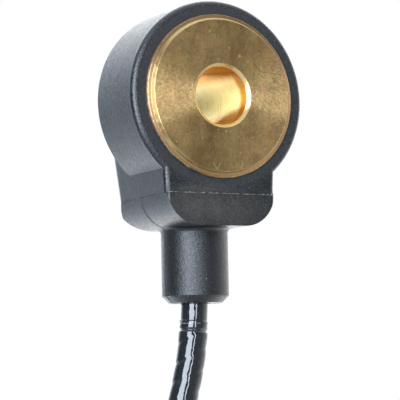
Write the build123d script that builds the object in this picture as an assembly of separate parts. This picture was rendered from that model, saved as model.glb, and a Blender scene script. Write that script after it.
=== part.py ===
from build123d import *
import math
import os

# Ring-type engine knock sensor with a moulded-on lead.
# Millimetres. The bolt runs along Y: the contact face lies at y = 0 and faces -Y, toward the engine,
# and the bolt head sits on the +Y side. The lead leaves toward -Z. Origin: bore axis on the contact face.

# Turned contact sleeve
bore_dia = 8.4
bore_mouth_dia = 9.4
bore_mouth_depth = 0.5
contact_face_dia = 22.1
contact_bevel = 0.35
flange_dia = 23.85
flange_ring_drop = 0.55
flange_back = 2.2
flange_edge_break = 0.12
hub_dia = 12.4
sleeve_length = 15.4
sleeve_edge = 0.35
lock_groove_width = 0.6
lock_groove_depth = 0.45

# Housing moulding
disc_dia = 28.2
disc_front = 1.05
disc_back = 12.55
disc_front_round = 0.85
disc_back_round = 0.35
moulding_gap = 0.03

# Sensing stack, from the flange toward the bolt head
insulator_thickness = 0.25
contact_thickness = 0.3
piezo_thickness = 2.5
piezo_outer_dia = 19.6
piezo_inner_dia = 14.2
mass_thickness = 2.5
mass_outer_dia = 20.4
spring_sheet = 0.45
spring_height = 0.85
nut_thickness = 1.5
nut_outer_dia = 17.0
nut_slot_count = 4
nut_slot_width = 2.2
nut_slot_depth = 1.0
tube_wall = 0.35
stack_play = 0.05
cavity_gap = 0.3

# Terminal block under the disc
block_half_width_at_ledge = 8.95
block_side_draft = 3.0
block_top = -6.5
ledge_z = -14.2
block_back_at_ledge = 17.1
block_back_slope = 10.5
block_back_round = 2.0
block_front_round = 0.8
bolt_head_clearance_dia = 21.0
foot_width = 17.7
foot_step = 0.15
foot_height = 4.55
foot_corner_round = 5.0
foot_back_round = 3.4
foot_front_round = 0.5

# Cable gland
gland_y = 9.4
gland_dia = 9.9
gland_length = 10.85
gland_chamfer = 1.05
gland_root_round = 0.7

# Terminal carrier, tabs, splices and cores
carrier_wall = 1.5
carrier_top = -5.25
carrier_skirt = 0.7
carrier_gap = 0.05
tab_width = 1.6
tab_spacing = 3.6
shelf_above_ledge = 1.8
tab_length = 3.2
tab_root = 1.0
crimp_width = 2.6
crimp_depth = 2.0
crimp_wall = 0.3
crimp_length = 3.0
crimp_below_shelf = 1.0
slot_play = 0.1
core_dia = 1.3
conductor_dia = 0.8
conductor_gap = 0.3
core_pair_spacing = 1.5
core_room_dia = 6.0
core_room_height = 2.7
sheath_below_room = 1.7

# Strain relief ring on the sheath inside the gland
ferrule_dia = 6.6
ferrule_length = 4.0
ferrule_below_sheath_end = 1.0

# Lead
lead_dia = 4.3
sheath_gap = 0.04

# Put-away coil and its tie. The lead runs into the coil leaning by coil_lean degrees, and meets the first turn
# coil_run_in past the last point of its route. Its tube stops coil_clear short of that place.
coil_radius = 22.0
coil_turns = 3
coil_edge_round = 1.6
coil_lean = 8.0
coil_run_in = 19.0
coil_clear = 11.0
tie_width = 3.6
tie_thickness = 1.0
tie_gap = 0.15
tie_head_width = 5.6
tie_head_height = 3.6
tie_end_length = 2.4
tie_end_offset = 1.1

# Two-way plug, mating face downward
plug_x = -12.9
plug_y = 20.6
plug_top = -108.5
plug_length = 36.0
barrel_dia = 13.0
cap_plate = 1.6
cap_skirt = 4.6
cap_wall = 1.0
cap_groove_count = 16
cap_groove_width = 0.8
cap_groove_depth = 0.35
plug_fit = 0.05
seal_dia = 10.4
seal_length = 5.6
seal_lip = 0.35
seal_lip_count = 3
shroud_width = 18.0
shroud_depth = 13.0
shroud_length = 17.0
shroud_wall = 1.5
shroud_round = 3.0
pocket_depth = 13.5
shoulder_thickness = 3.0
shoulder_overhang = 0.8
latch_width = 6.0
latch_height = 1.6
latch_length = 4.0
latch_ramp = 2.8
latch_setback = 3.5
key_width = 1.6
key_height = 0.9
key_setback = 1.75
pin_spacing = 5.4
pin_width = 2.8
pin_sheet = 0.8
pin_reach = 7.0
pin_tip = 0.8
pin_barrel_width = 2.4
pin_barrel_length = 4.2
pin_slot_play = 0.06
pin_drop = 3.4
plug_core_room_dia = 8.4
plug_core_end = 1.2

# How far a cut runs past the face that it opens
overcut = 1.0


def turned(points, axis=Axis.Y):
    """Revolves a closed outline. About Y the points are (radius, y), about Z they are (radius, z)."""
    if axis == Axis.Y:
        outline = make_face(Polyline([(r, h, 0) for r, h in points], close=True))
    else:
        outline = make_face(Polyline([(r, 0, h) for r, h in points], close=True))
    return revolve(outline, axis)


def ring(inner_dia, outer_dia, front, back):
    """Flat washer on the bore axis, from y = front to y = back."""
    return turned([(inner_dia / 2, front), (outer_dia / 2, front), (outer_dia / 2, back), (inner_dia / 2, back)])


def box(x0, x1, y0, y1, z0, z1):
    """Block between two corners."""
    middle = Pos((x0 + x1) / 2, (y0 + y1) / 2, (z0 + z1) / 2)
    return middle * Box(x1 - x0, y1 - y0, z1 - z0)


def upright(radius, z0, z1, x=0.0, y=0.0):
    """Cylinder along Z."""
    return Pos(x, y, (z0 + z1) / 2) * Cylinder(radius, z1 - z0)


def front_view(outline, front, back):
    """Extrudes a sketch drawn in X and Z from y = front to y = back."""
    plane = Plane(origin=(0, back, 0), x_dir=(1, 0, 0), z_dir=(0, -1, 0))
    return extrude(plane * outline, amount=back - front)


def side_view(outline, half_width):
    """Extrudes a sketch drawn in Y and Z to both sides of x = 0."""
    return extrude(Plane.YZ * outline, amount=half_width, both=True)


# Places along the bore, each on the one before
front_insulator_at = flange_back
front_contact_at = front_insulator_at + insulator_thickness
piezo_at = front_contact_at + contact_thickness
rear_contact_at = piezo_at + piezo_thickness
rear_insulator_at = rear_contact_at + contact_thickness
mass_at = rear_insulator_at + insulator_thickness
spring_at = mass_at + mass_thickness
nut_at = spring_at + spring_height
stack_back = nut_at + nut_thickness


# Contact sleeve: one turned brass piece
def sleeve_outside(grow):
    """Outline of the sleeve behind the contact face, grown outward by a gap."""
    flange = flange_dia / 2 + grow
    hub = hub_dia / 2 + grow
    flange_lock = (flange_ring_drop + flange_back) / 2 + lock_groove_width / 4
    hub_lock = (disc_back + stack_back) / 2
    half = lock_groove_width / 2
    return [
        (flange, flange_lock - half),
        (flange - lock_groove_depth, flange_lock),
        (flange, flange_lock + half),
        (flange, flange_back + grow),
        (hub, flange_back + grow),
        (hub, hub_lock - half),
        (hub - lock_groove_depth, hub_lock),
        (hub, hub_lock + half),
    ]


contact_sleeve = turned(
    [
        (bore_dia / 2, bore_mouth_depth),
        (bore_mouth_dia / 2, 0),
        (contact_face_dia / 2, 0),
        (contact_face_dia / 2 + contact_bevel, flange_ring_drop),
        (flange_dia / 2 - flange_edge_break, flange_ring_drop),
        (flange_dia / 2, flange_ring_drop + flange_edge_break),
    ]
    + sleeve_outside(0)
    + [
        (hub_dia / 2, sleeve_length - sleeve_edge),
        (hub_dia / 2 - sleeve_edge, sleeve_length),
        (bore_dia / 2 + sleeve_edge, sleeve_length),
        (bore_dia / 2, sleeve_length - sleeve_edge),
    ]
)

# Sensing stack on the hub
tube_outer_dia = hub_dia + 2 * (stack_play + tube_wall)
stack_inner_dia = tube_outer_dia + 2 * stack_play
insulating_tube = ring(hub_dia + 2 * stack_play, tube_outer_dia, front_insulator_at, spring_at)
front_insulator = ring(stack_inner_dia, mass_outer_dia, front_insulator_at, front_contact_at)
rear_insulator = ring(stack_inner_dia, mass_outer_dia, rear_insulator_at, mass_at)
piezo_ring = ring(piezo_inner_dia, piezo_outer_dia, piezo_at, rear_contact_at)
seismic_mass = ring(stack_inner_dia, mass_outer_dia, mass_at, spring_at)

spring_inner = hub_dia / 2 + stack_play
spring_outer = nut_outer_dia / 2
disc_spring = turned(
    [
        (spring_inner, nut_at - spring_sheet),
        (spring_outer, spring_at),
        (spring_outer, spring_at + spring_sheet),
        (spring_inner, nut_at),
    ]
)

clamp_nut = ring(hub_dia + 2 * moulding_gap, nut_outer_dia, nut_at, stack_back)
nut_slot = box(
    nut_outer_dia / 2 - nut_slot_depth, nut_outer_dia / 2 + overcut,
    nut_at - overcut, stack_back + overcut,
    -nut_slot_width / 2, nut_slot_width / 2,
)
for slot in range(nut_slot_count):
    clamp_nut -= Rot(0, 360 * (slot + 0.5) / nut_slot_count, 0) * nut_slot

# Places down the terminal block and the gland, each under the one before
tab_shelf_z = ledge_z + shelf_above_ledge
tab_end = tab_shelf_z - tab_length
crimp_top = tab_shelf_z - crimp_below_shelf
crimp_bottom = crimp_top - crimp_length
carrier_bottom = crimp_bottom - carrier_skirt
core_room_bottom = carrier_bottom - core_room_height
sheath_end = core_room_bottom - sheath_below_room
ferrule_top = sheath_end - ferrule_below_sheath_end
ferrule_bottom = ferrule_top - ferrule_length
foot_bottom = ledge_z - foot_height
gland_end = foot_bottom - gland_length

# Contact discs, each stamped in one piece with a tab that steps back into the terminal block
tab_back_y = gland_y - core_dia / 2


def contact_disc(front, side):
    """Disc with a tab that runs down, back along a shelf and down again into its splice."""
    disc = ring(stack_inner_dia, piezo_outer_dia, front, front + contact_thickness)
    start = -piezo_outer_dia / 2 + tab_root
    sheet = contact_thickness
    profile = Polyline(
        [
            (front, start),
            (front, tab_shelf_z - sheet),
            (tab_back_y - sheet, tab_shelf_z - sheet),
            (tab_back_y - sheet, tab_end),
            (tab_back_y, tab_end),
            (tab_back_y, tab_shelf_z),
            (front + sheet, tab_shelf_z),
            (front + sheet, start),
        ],
        close=True,
    )
    tab = side_view(make_face(profile), tab_width / 2)
    return disc + Pos(side * tab_spacing / 2, 0, 0) * tab


front_contact = contact_disc(front_contact_at, -1)
rear_contact = contact_disc(rear_contact_at, 1)

# Splices: a flattened barrel that holds a tab and a bare conductor
crimp_inner_front = tab_back_y - contact_thickness - moulding_gap
crimp_front = crimp_inner_front - crimp_wall
crimp_back = crimp_front + crimp_depth


def splice(side):
    """Barrel round one tab and its conductor."""
    x = side * tab_spacing / 2
    outer = box(x - crimp_width / 2, x + crimp_width / 2, crimp_front, crimp_back, crimp_bottom, crimp_top)
    outer = fillet(outer.edges().filter_by(Axis.Z), crimp_wall)
    inner = box(
        x - crimp_width / 2 + crimp_wall, x + crimp_width / 2 - crimp_wall,
        crimp_inner_front, crimp_back - crimp_wall,
        crimp_bottom - overcut, crimp_top + overcut,
    )
    return outer - inner


signal_crimp = splice(-1)
ground_crimp = splice(1)


# Cores: insulated from the sheath's end to the splice, bare inside it
def core(side):
    """One core, from inside the gland to its splice."""
    x0 = side * core_pair_spacing / 2
    x1 = side * tab_spacing / 2
    y0 = gland_y
    y1 = tab_back_y + conductor_dia / 2 + moulding_gap
    bend_low = core_room_bottom + core_dia / 2
    bend_high = crimp_bottom - core_dia
    insulation_end = crimp_bottom - moulding_gap
    path = FilletPolyline(
        [(x0, y0, sheath_end), (x0, y0, bend_low), (x1, y1, bend_high), (x1, y1, insulation_end)],
        radius=core_dia / 2,
    )
    insulated = sweep(Plane(origin=(x0, y0, sheath_end), z_dir=(0, 0, 1)) * Circle(core_dia / 2), path)
    bare = upright(conductor_dia / 2, insulation_end, crimp_top - conductor_gap, x1, y1)
    return insulated + bare


signal_core = core(-1)
ground_core = core(1)

# Carrier that keeps the tabs apart, with one slot for each
carrier_front = flange_back + carrier_gap
carrier_half_width = (tab_spacing + crimp_width) / 2 + carrier_wall
cavity_dia = mass_outer_dia + 2 * cavity_gap


def carrier_block(grow, back):
    """Block of the carrier, grown by a gap on its front, sides and foot."""
    half_width = carrier_half_width + grow
    return box(-half_width, half_width, carrier_front - grow, back, carrier_bottom - grow, carrier_top)


terminal_carrier = carrier_block(0, stack_back) - ring(0, cavity_dia + 2 * carrier_gap, 0, sleeve_length)
for side, front in ((-1, front_contact_at), (1, rear_contact_at)):
    x = side * tab_spacing / 2
    half_tab = tab_width / 2 + slot_play
    half_crimp = crimp_width / 2 + slot_play
    terminal_carrier -= box(
        x - half_tab, x + half_tab,
        front - slot_play, tab_back_y + slot_play,
        tab_shelf_z - contact_thickness - slot_play, 0,
    )
    terminal_carrier -= box(
        x - half_crimp, x + half_crimp,
        crimp_front - slot_play, crimp_back + slot_play,
        carrier_bottom - overcut, tab_shelf_z,
    )

# Strain relief ring
sheath_hole_dia = lead_dia + 2 * sheath_gap
jacket_ferrule = Pos(0, gland_y, 0) * turned(
    [
        (sheath_hole_dia / 2, ferrule_top),
        (ferrule_dia / 2, ferrule_top),
        (ferrule_dia / 2, ferrule_bottom),
        (sheath_hole_dia / 2, ferrule_bottom),
    ],
    Axis.Z,
)

# Housing: disc, terminal block, foot and gland moulded as one
disc = ring(0, disc_dia, disc_front, disc_back)
disc = fillet(disc.edges().sort_by(Axis.Y)[0], disc_front_round)
disc = fillet(disc.edges().sort_by(Axis.Y)[-1], disc_back_round)

block_rise = block_top - ledge_z
block_half_width_at_top = block_half_width_at_ledge + block_rise * math.tan(math.radians(block_side_draft))
block_back_at_top = block_back_at_ledge + block_rise * math.tan(math.radians(block_back_slope))
block_face = make_face(Polyline(
    [
        (-block_half_width_at_top, block_top),
        (block_half_width_at_top, block_top),
        (block_half_width_at_ledge, ledge_z),
        (-block_half_width_at_ledge, ledge_z),
    ],
    close=True,
))
block_side = make_face(Polyline(
    [
        (disc_front, block_top),
        (block_back_at_top, block_top),
        (block_back_at_ledge, ledge_z),
        (disc_front, ledge_z),
    ],
    close=True,
))


def side_corners(solid):
    """The long corner edges that run down a block, front ones first."""
    return solid.edges().filter_by(lambda edge: abs(edge.tangent_at(0.5).Z) > math.cos(math.pi / 6)).sort_by(Axis.Y)


block = front_view(block_face, disc_front, block_back_at_top) & side_view(block_side, disc_dia)
block = fillet(side_corners(block)[-2:], block_back_round)
block = fillet(side_corners(block)[:2], block_front_round)
block -= ring(0, bolt_head_clearance_dia, disc_back, block_back_at_top + overcut)

# The foot's corner rounds are larger than its height, so its outlines are drawn up to the block's top, and the
# last of its three bodies trims them at the ledge.
foot_half_width = foot_width / 2
foot_front = disc_front - foot_step
foot_back = block_back_at_ledge + foot_step
foot_face = make_face(Polyline(
    [
        (-foot_half_width, block_top),
        (foot_half_width, block_top),
        (foot_half_width, foot_bottom),
        (-foot_half_width, foot_bottom),
    ],
    close=True,
))
foot_face = fillet(foot_face.vertices().group_by(Axis.Y)[0], foot_corner_round)
foot_side = make_face(Polyline(
    [
        (foot_front, block_top),
        (foot_back, block_top),
        (foot_back, foot_bottom),
        (foot_front, foot_bottom),
    ],
    close=True,
))
foot_side = fillet(foot_side.vertices().group_by(Axis.Y)[0].sort_by(Axis.X)[-1], foot_back_round)
foot_plan = make_face(Polyline(
    [
        (-foot_half_width, foot_front),
        (foot_half_width, foot_front),
        (foot_half_width, foot_back),
        (-foot_half_width, foot_back),
    ],
    close=True,
))
foot_plan = fillet(foot_plan.vertices().group_by(Axis.Y)[-1], block_back_round)
foot_plan = fillet(foot_plan.vertices().group_by(Axis.Y)[0], foot_front_round)
foot = (
    front_view(foot_face, foot_front, foot_back)
    & side_view(foot_side, disc_dia)
    & (Pos(0, 0, foot_bottom) * extrude(foot_plan, amount=foot_height))
)

gland = Pos(0, gland_y, 0) * turned(
    [
        (0, foot_bottom + overcut),
        (gland_dia / 2, foot_bottom + overcut),
        (gland_dia / 2, gland_end + gland_chamfer),
        (gland_dia / 2 - gland_chamfer, gland_end),
        (0, gland_end),
    ],
    Axis.Z,
)


def goes_round_gland(edge):
    """True for an edge of the gland's root, on the foot's flat bottom or on its rounded back."""
    places = [edge.position_at(share) for share in (0, 0.3, 0.6, 1)]
    on_wall = all(abs(math.hypot(place.X, place.Y - gland_y) - gland_dia / 2) < moulding_gap for place in places)
    return on_wall and all(foot_bottom - moulding_gap < place.Z < foot_bottom + foot_back_round for place in places)


shell = disc + block + foot + gland
shell = fillet(shell.edges().filter_by(goes_round_gland), gland_root_round)

sleeve_seat = turned(
    [(0, -overcut), (flange_dia / 2 + moulding_gap, -overcut)]
    + sleeve_outside(moulding_gap)
    + [(hub_dia / 2 + moulding_gap, sleeve_length), (0, sleeve_length)]
)
stack_room = ring(0, cavity_dia, flange_back, stack_back + moulding_gap)
core_room = upright(core_room_dia / 2, core_room_bottom, carrier_bottom, y=gland_y)
lead_hole = upright(sheath_hole_dia / 2, gland_end - overcut, carrier_bottom, y=gland_y)
ferrule_room = upright(
    ferrule_dia / 2 + sheath_gap, ferrule_bottom - sheath_gap, ferrule_top + sheath_gap, y=gland_y
)
housing = shell - sleeve_seat - stack_room - carrier_block(carrier_gap, stack_back + moulding_gap)
housing = housing - core_room - lead_hole - ferrule_room

# Lead: points of its route, chosen by hand as far as the coil
coil_direction = Vector(-math.sin(math.radians(coil_lean)), 0, -math.cos(math.radians(coil_lean)))
lead_points = [
    (0, gland_y, sheath_end),
    (0, gland_y, -34.0),
    (-3.0, gland_y, -46.2),
    (-7.0, gland_y, -57.5),
]
coil_entry = Vector(*lead_points[-1]) + coil_run_in * coil_direction
before_coil = coil_entry - coil_clear * coil_direction
lead_route = lead_points + [tuple(before_coil)]

# Tail: from the coil's last turn to the plug
sheath_end_in_plug = plug_top - cap_plate - seal_length + plug_fit
coil_exit = coil_entry + Vector(0, coil_turns * lead_dia, 0)
after_coil = coil_exit + coil_clear * coil_direction
tail_route = [
    tuple(after_coil),
    (-12.5, 21.6, -96.9),
    (plug_x, plug_y, -106.8),
    (plug_x, plug_y, sheath_end_in_plug),
]


def cord_tube(name, route):
    """Tube of the lead along a route, with each arc 0.45 of its shorter run over the tangent of half its turn."""
    points = [Vector(*point) for point in route]
    runs = [after - before for before, after in zip(points, points[1:])]
    radii = []
    for before, after in zip(runs, runs[1:]):
        half_turn = math.radians(before.get_angle(after)) / 2
        radii.append(0.45 * min(before.length, after.length) / math.tan(half_turn))
    path = FilletPolyline(points, radius=radii)
    tube = sweep(Plane(origin=points[0], z_dir=runs[0]) * Circle(lead_dia / 2), path)
    section = math.pi * lead_dia**2 / 4
    print(name, "arc radii", [round(radius, 1) for radius in radii])
    print(name, "length", round(path.length, 2), "volume over section times length",
          round(tube.volume / (section * path.length), 4))
    return tube


# Coil: closed ring of the outer shape of the turns, which lie side by side along Y
coil_middle = Vector(
    coil_entry.X - coil_radius * coil_direction.Z, 0, coil_entry.Z + coil_radius * coil_direction.X
)
coil_front = gland_y - lead_dia / 2
coil_back = gland_y + (coil_turns + 0.5) * lead_dia
coil_section = make_face(Polyline(
    [
        (coil_radius - lead_dia / 2, coil_front),
        (coil_radius + lead_dia / 2, coil_front),
        (coil_radius + lead_dia / 2, coil_back),
        (coil_radius - lead_dia / 2, coil_back),
    ],
    close=True,
))
coil_section = fillet(coil_section.vertices(), coil_edge_round)
lead_coil = Pos(*coil_middle) * revolve(coil_section, Axis.Y)
lead = cord_tube("lead", lead_route) - lead_coil
lead_tail = cord_tube("lead_tail", tail_route) - lead_coil

# Cable tie round the turns, where the lead runs in and the tail runs out
outward = Vector(coil_direction.Z, 0, -coil_direction.X)
tie_plane = Plane(origin=(coil_entry + coil_exit) / 2, x_dir=outward, z_dir=coil_direction)
tie_inner_depth = lead_dia + 2 * tie_gap
tie_inner_width = (coil_turns + 1) * lead_dia + 2 * tie_gap
tie_inner_round = coil_edge_round + tie_gap
tie_outer_depth = tie_inner_depth + 2 * tie_thickness
tie_band = RectangleRounded(tie_outer_depth, tie_inner_width + 2 * tie_thickness, tie_inner_round + tie_thickness)
tie_band -= RectangleRounded(tie_inner_depth, tie_inner_width, tie_inner_round)
tie_head = box(
    tie_outer_depth / 2 - tie_thickness, tie_outer_depth / 2 + tie_head_height,
    -tie_head_width / 2, tie_head_width / 2,
    -tie_head_width / 2, tie_head_width / 2,
)
tie_head = fillet(tie_head.edges().sort_by(Axis.X)[-4:], tie_thickness / 2)
tie_end = box(
    tie_outer_depth / 2 + tie_head_height - tie_thickness,
    tie_outer_depth / 2 + tie_head_height + tie_end_length,
    -tie_end_offset - tie_thickness / 2, -tie_end_offset + tie_thickness / 2,
    -tie_width / 2, tie_width / 2,
)
coil_tie = tie_plane * (extrude(tie_band, amount=tie_width / 2, both=True) + tie_head + tie_end)

# Plug, drawn about its own axis: a shell with a barrel for the seal and a shroud round the blades
shroud_face = plug_top - plug_length
shroud_top = shroud_face + shroud_length
pocket_floor = shroud_face + pocket_depth
barrel_top = plug_top - cap_plate
seal_bottom = barrel_top - seal_length
core_room_floor = seal_bottom - pin_drop
blade_top = core_room_floor - pin_barrel_length
blade_bottom = pocket_floor - pin_reach
plug_place = Pos(plug_x, plug_y, 0)


def slab(width, depth, corner, z0, z1):
    """Rounded rectangle on the plug's axis, from z0 up to z1."""
    return Pos(0, 0, z0) * extrude(RectangleRounded(width, depth, corner), amount=z1 - z0)


plug_shell = slab(shroud_width, shroud_depth, shroud_round, shroud_face, shroud_top)
plug_shell += slab(
    shroud_width + 2 * shoulder_overhang, shroud_depth + 2 * shoulder_overhang, shroud_round + shoulder_overhang,
    shroud_top - shoulder_thickness, shroud_top,
)
plug_shell = fillet(plug_shell.edges().group_by(Axis.Z)[-1], shoulder_overhang / 2)
plug_shell += upright(barrel_dia / 2, shroud_top, barrel_top)
plug_shell -= slab(
    shroud_width - 2 * shroud_wall, shroud_depth - 2 * shroud_wall, shroud_round - shroud_wall,
    shroud_face - overcut, pocket_floor,
)
plug_shell -= upright(seal_dia / 2 + plug_fit, seal_bottom, barrel_top + overcut)
plug_shell -= upright(plug_core_room_dia / 2, core_room_floor, seal_bottom)

latch_root = -shroud_depth / 2 + shroud_wall / 2
latch_crest = -shroud_depth / 2 - latch_height
latch_bottom = shroud_face + latch_setback
latch_outline = make_face(Polyline(
    [
        (latch_root, latch_bottom),
        (-shroud_depth / 2, latch_bottom),
        (latch_crest, latch_bottom + latch_ramp),
        (latch_crest, latch_bottom + latch_length),
        (latch_root, latch_bottom + latch_length),
    ],
    close=True,
))
plug_shell += side_view(latch_outline, latch_width / 2)
key = box(
    shroud_width / 2 - shroud_wall / 2, shroud_width / 2 + key_height,
    -key_width / 2, key_width / 2,
    shroud_face + key_setback, shroud_top - shoulder_thickness,
)
plug_shell = plug_shell + key + mirror(key, Plane.YZ)

for side in (-1, 1):
    x = side * pin_spacing / 2
    half_blade = pin_width / 2 + pin_slot_play
    half_sheet = pin_sheet / 2 + pin_slot_play
    half_barrel = pin_barrel_width / 2 + pin_slot_play
    plug_shell -= box(x - half_blade, x + half_blade, -half_sheet, half_sheet, pocket_floor - overcut, blade_top)
    plug_shell -= box(
        x - half_barrel, x + half_barrel, -half_barrel, half_barrel, blade_top - pin_slot_play, core_room_floor
    )
plug_housing = plug_place * plug_shell

cap_hole = sheath_hole_dia / 2 + plug_fit
cap_inner = barrel_dia / 2 + plug_fit
cap_outer = cap_inner + cap_wall
cap_bottom = barrel_top - cap_skirt
grip_cap = turned(
    [
        (cap_hole, plug_top),
        (cap_outer - cap_wall / 2, plug_top),
        (cap_outer, plug_top - cap_wall / 2),
        (cap_outer, cap_bottom),
        (cap_inner, cap_bottom),
        (cap_inner, barrel_top),
        (cap_hole, barrel_top),
    ],
    Axis.Z,
)
cap_groove = box(
    cap_outer - cap_groove_depth, cap_outer + overcut,
    -cap_groove_width / 2, cap_groove_width / 2,
    cap_bottom - overcut, plug_top - cap_plate,
)
for groove in range(cap_groove_count):
    grip_cap -= Rot(0, 0, groove * 360 / cap_groove_count) * cap_groove
plug_cap = plug_place * grip_cap

# Seal: a plug of silicone with lips round it
lip_step = seal_length / (2 * seal_lip_count + 1)
seal_waist = seal_dia / 2 - seal_lip
seal_outline = [(sheath_hole_dia / 2, barrel_top), (seal_waist, barrel_top)]
for lip in range(seal_lip_count):
    crest = barrel_top - (2 * lip + 1.5) * lip_step
    seal_outline += [(seal_waist, crest + lip_step / 2), (seal_dia / 2, crest), (seal_waist, crest - lip_step / 2)]
seal_outline += [(seal_waist, seal_bottom), (sheath_hole_dia / 2, seal_bottom)]
plug_seal = plug_place * turned(seal_outline, Axis.Z)


def plug_pin(side):
    """Blade contact with a crimp barrel on its core."""
    x = side * pin_spacing / 2
    half_sheet = pin_sheet / 2
    half = pin_barrel_width / 2
    outline = Polyline(
        [
            (-half_sheet, blade_top),
            (-half_sheet, blade_bottom + pin_tip),
            (-half_sheet / 3, blade_bottom),
            (half_sheet / 3, blade_bottom),
            (half_sheet, blade_bottom + pin_tip),
            (half_sheet, blade_top),
        ],
        close=True,
    )
    sheet = Pos(x, 0, 0) * side_view(make_face(outline), pin_width / 2)
    barrel = box(x - half, x + half, -half, half, blade_top, blade_top + pin_barrel_length)
    hole = upright(core_dia / 2 + moulding_gap, blade_top + plug_core_end / 2, seal_bottom, x)
    return plug_place * (sheet + (barrel - hole))


plug_pin_signal = plug_pin(-1)
plug_pin_ground = plug_pin(1)


def plug_core(side):
    """One core from the sheath's end in the plug to its blade."""
    x0 = side * core_pair_spacing / 2
    x1 = side * pin_spacing / 2
    start = sheath_end_in_plug
    bend_low = core_room_floor + core_dia / 4
    path = FilletPolyline(
        [(x0, 0, start), (x0, 0, start - core_dia / 2), (x1, 0, bend_low), (x1, 0, blade_top + plug_core_end)],
        radius=core_dia / 2,
    )
    return plug_place * sweep(Plane(origin=(x0, 0, start), z_dir=(0, 0, -1)) * Circle(core_dia / 2), path)


plug_signal_core = plug_core(-1)
plug_ground_core = plug_core(1)

pieces = {
    "contact_sleeve": contact_sleeve,
    "insulating_tube": insulating_tube,
    "front_insulator": front_insulator,
    "front_contact": front_contact,
    "piezo_ring": piezo_ring,
    "rear_contact": rear_contact,
    "rear_insulator": rear_insulator,
    "seismic_mass": seismic_mass,
    "disc_spring": disc_spring,
    "clamp_nut": clamp_nut,
    "terminal_carrier": terminal_carrier,
    "signal_crimp": signal_crimp,
    "ground_crimp": ground_crimp,
    "signal_core": signal_core,
    "ground_core": ground_core,
    "jacket_ferrule": jacket_ferrule,
    "housing": housing,
    "lead": lead,
    "lead_coil": lead_coil,
    "lead_tail": lead_tail,
    "coil_tie": coil_tie,
    "plug_housing": plug_housing,
    "plug_cap": plug_cap,
    "plug_seal": plug_seal,
    "plug_pin_signal": plug_pin_signal,
    "plug_pin_ground": plug_pin_ground,
    "plug_signal_core": plug_signal_core,
    "plug_ground_core": plug_ground_core,
}

os.makedirs("parts", exist_ok=True)
for name, shape in pieces.items():
    export_step(shape, f"parts/{name}.step")
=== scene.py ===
import bmesh
import bpy
import math
from mathutils import Matrix, Vector, noise


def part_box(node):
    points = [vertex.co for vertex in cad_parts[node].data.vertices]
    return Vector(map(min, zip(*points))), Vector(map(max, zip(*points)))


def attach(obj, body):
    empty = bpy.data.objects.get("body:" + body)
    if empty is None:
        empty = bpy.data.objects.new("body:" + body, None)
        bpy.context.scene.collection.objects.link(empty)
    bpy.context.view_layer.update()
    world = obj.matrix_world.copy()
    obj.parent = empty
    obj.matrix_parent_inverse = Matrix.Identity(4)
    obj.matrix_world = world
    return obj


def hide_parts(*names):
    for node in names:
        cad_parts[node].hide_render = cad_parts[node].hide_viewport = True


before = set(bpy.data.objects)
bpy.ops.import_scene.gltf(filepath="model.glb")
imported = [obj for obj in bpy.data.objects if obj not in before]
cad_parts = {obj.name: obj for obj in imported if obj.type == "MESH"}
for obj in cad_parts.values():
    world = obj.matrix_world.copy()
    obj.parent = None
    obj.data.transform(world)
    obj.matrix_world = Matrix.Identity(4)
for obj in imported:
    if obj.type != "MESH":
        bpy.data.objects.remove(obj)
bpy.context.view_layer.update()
scene = bpy.context.scene

# Camera
# A long lens a quarter of a metre away, a little to the left of the sensor and below it, looking slightly
# up. Its place, turn and length are fitted to the outlines of the bore, the brass face and the disc.
camera_place = Vector((-0.12807, -0.22294, -0.03961))
camera_yaw = math.radians(29.069)
camera_pitch = math.radians(5.4425)
camera_roll = math.radians(-1.1566)
camera_sensor = 36.0
camera_nearest = 0.01
image_width = 400
lens_pixels = 1800.85

camera = bpy.data.objects.new("camera", bpy.data.cameras.new("camera"))
scene.collection.objects.link(camera)
camera.data.sensor_width = camera_sensor
camera.data.lens = camera_sensor * lens_pixels / image_width
camera.data.clip_start = camera_nearest
camera_turn = (
    Matrix.Rotation(-camera_yaw, 4, "Z")
    @ Matrix.Rotation(math.pi / 2 + camera_pitch, 4, "X")
    @ Matrix.Rotation(camera_roll, 4, "Z")
)
camera.matrix_world = Matrix.Translation(camera_place) @ camera_turn
scene.camera = camera

# Lead
# Two-core lead, half a metre long. It leaves the gland straight down, bends to the left and hangs in three
# round turns under the sensor, with its plug at the end. The thin glossy black sheath is extruded over the
# twisted pair, so it shows a shallow lump for each half turn of the cores.
lead_dia = 0.0043
gland_y = 0.0094
coil_radius = 0.022
coil_turns = 3
coil_lean = math.radians(8.0)
coil_run_in = 0.019
coil_clear = 0.011
points_per_turn = 24
route_resolution = 24
sheath_run = [
    Vector((0, gland_y, -0.0215)),
    Vector((0, gland_y, -0.034)),
    Vector((-0.003, gland_y, -0.0462)),
    Vector((-0.007, gland_y, -0.0575)),
]
sheath_tail = [
    Vector((-0.0125, 0.0216, -0.0969)),
    Vector((-0.0129, 0.0206, -0.1068)),
    Vector((-0.0129, 0.0206, -0.11565)),
]
coil_way = Vector((-math.sin(coil_lean), 0, -math.cos(coil_lean)))
coil_entry = sheath_run[-1] + coil_run_in * coil_way
coil_exit = coil_entry + Vector((0, coil_turns * lead_dia, 0))
coil_middle = Vector((coil_entry.x - coil_radius * coil_way.z, 0, coil_entry.z + coil_radius * coil_way.x))
coil_start = math.pi - coil_lean
winding_radius = coil_radius / math.cos(math.pi / points_per_turn)

route = sheath_run + [coil_entry - coil_clear * coil_way]
for step in range(coil_turns * points_per_turn + 1):
    turned_by = 2 * math.pi * step / points_per_turn
    angle = coil_start + turned_by
    route.append(Vector((
        coil_middle.x + winding_radius * math.cos(angle),
        gland_y + lead_dia * turned_by / (2 * math.pi),
        coil_middle.z + winding_radius * math.sin(angle),
    )))
route += [coil_exit + coil_clear * coil_way] + sheath_tail

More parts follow.
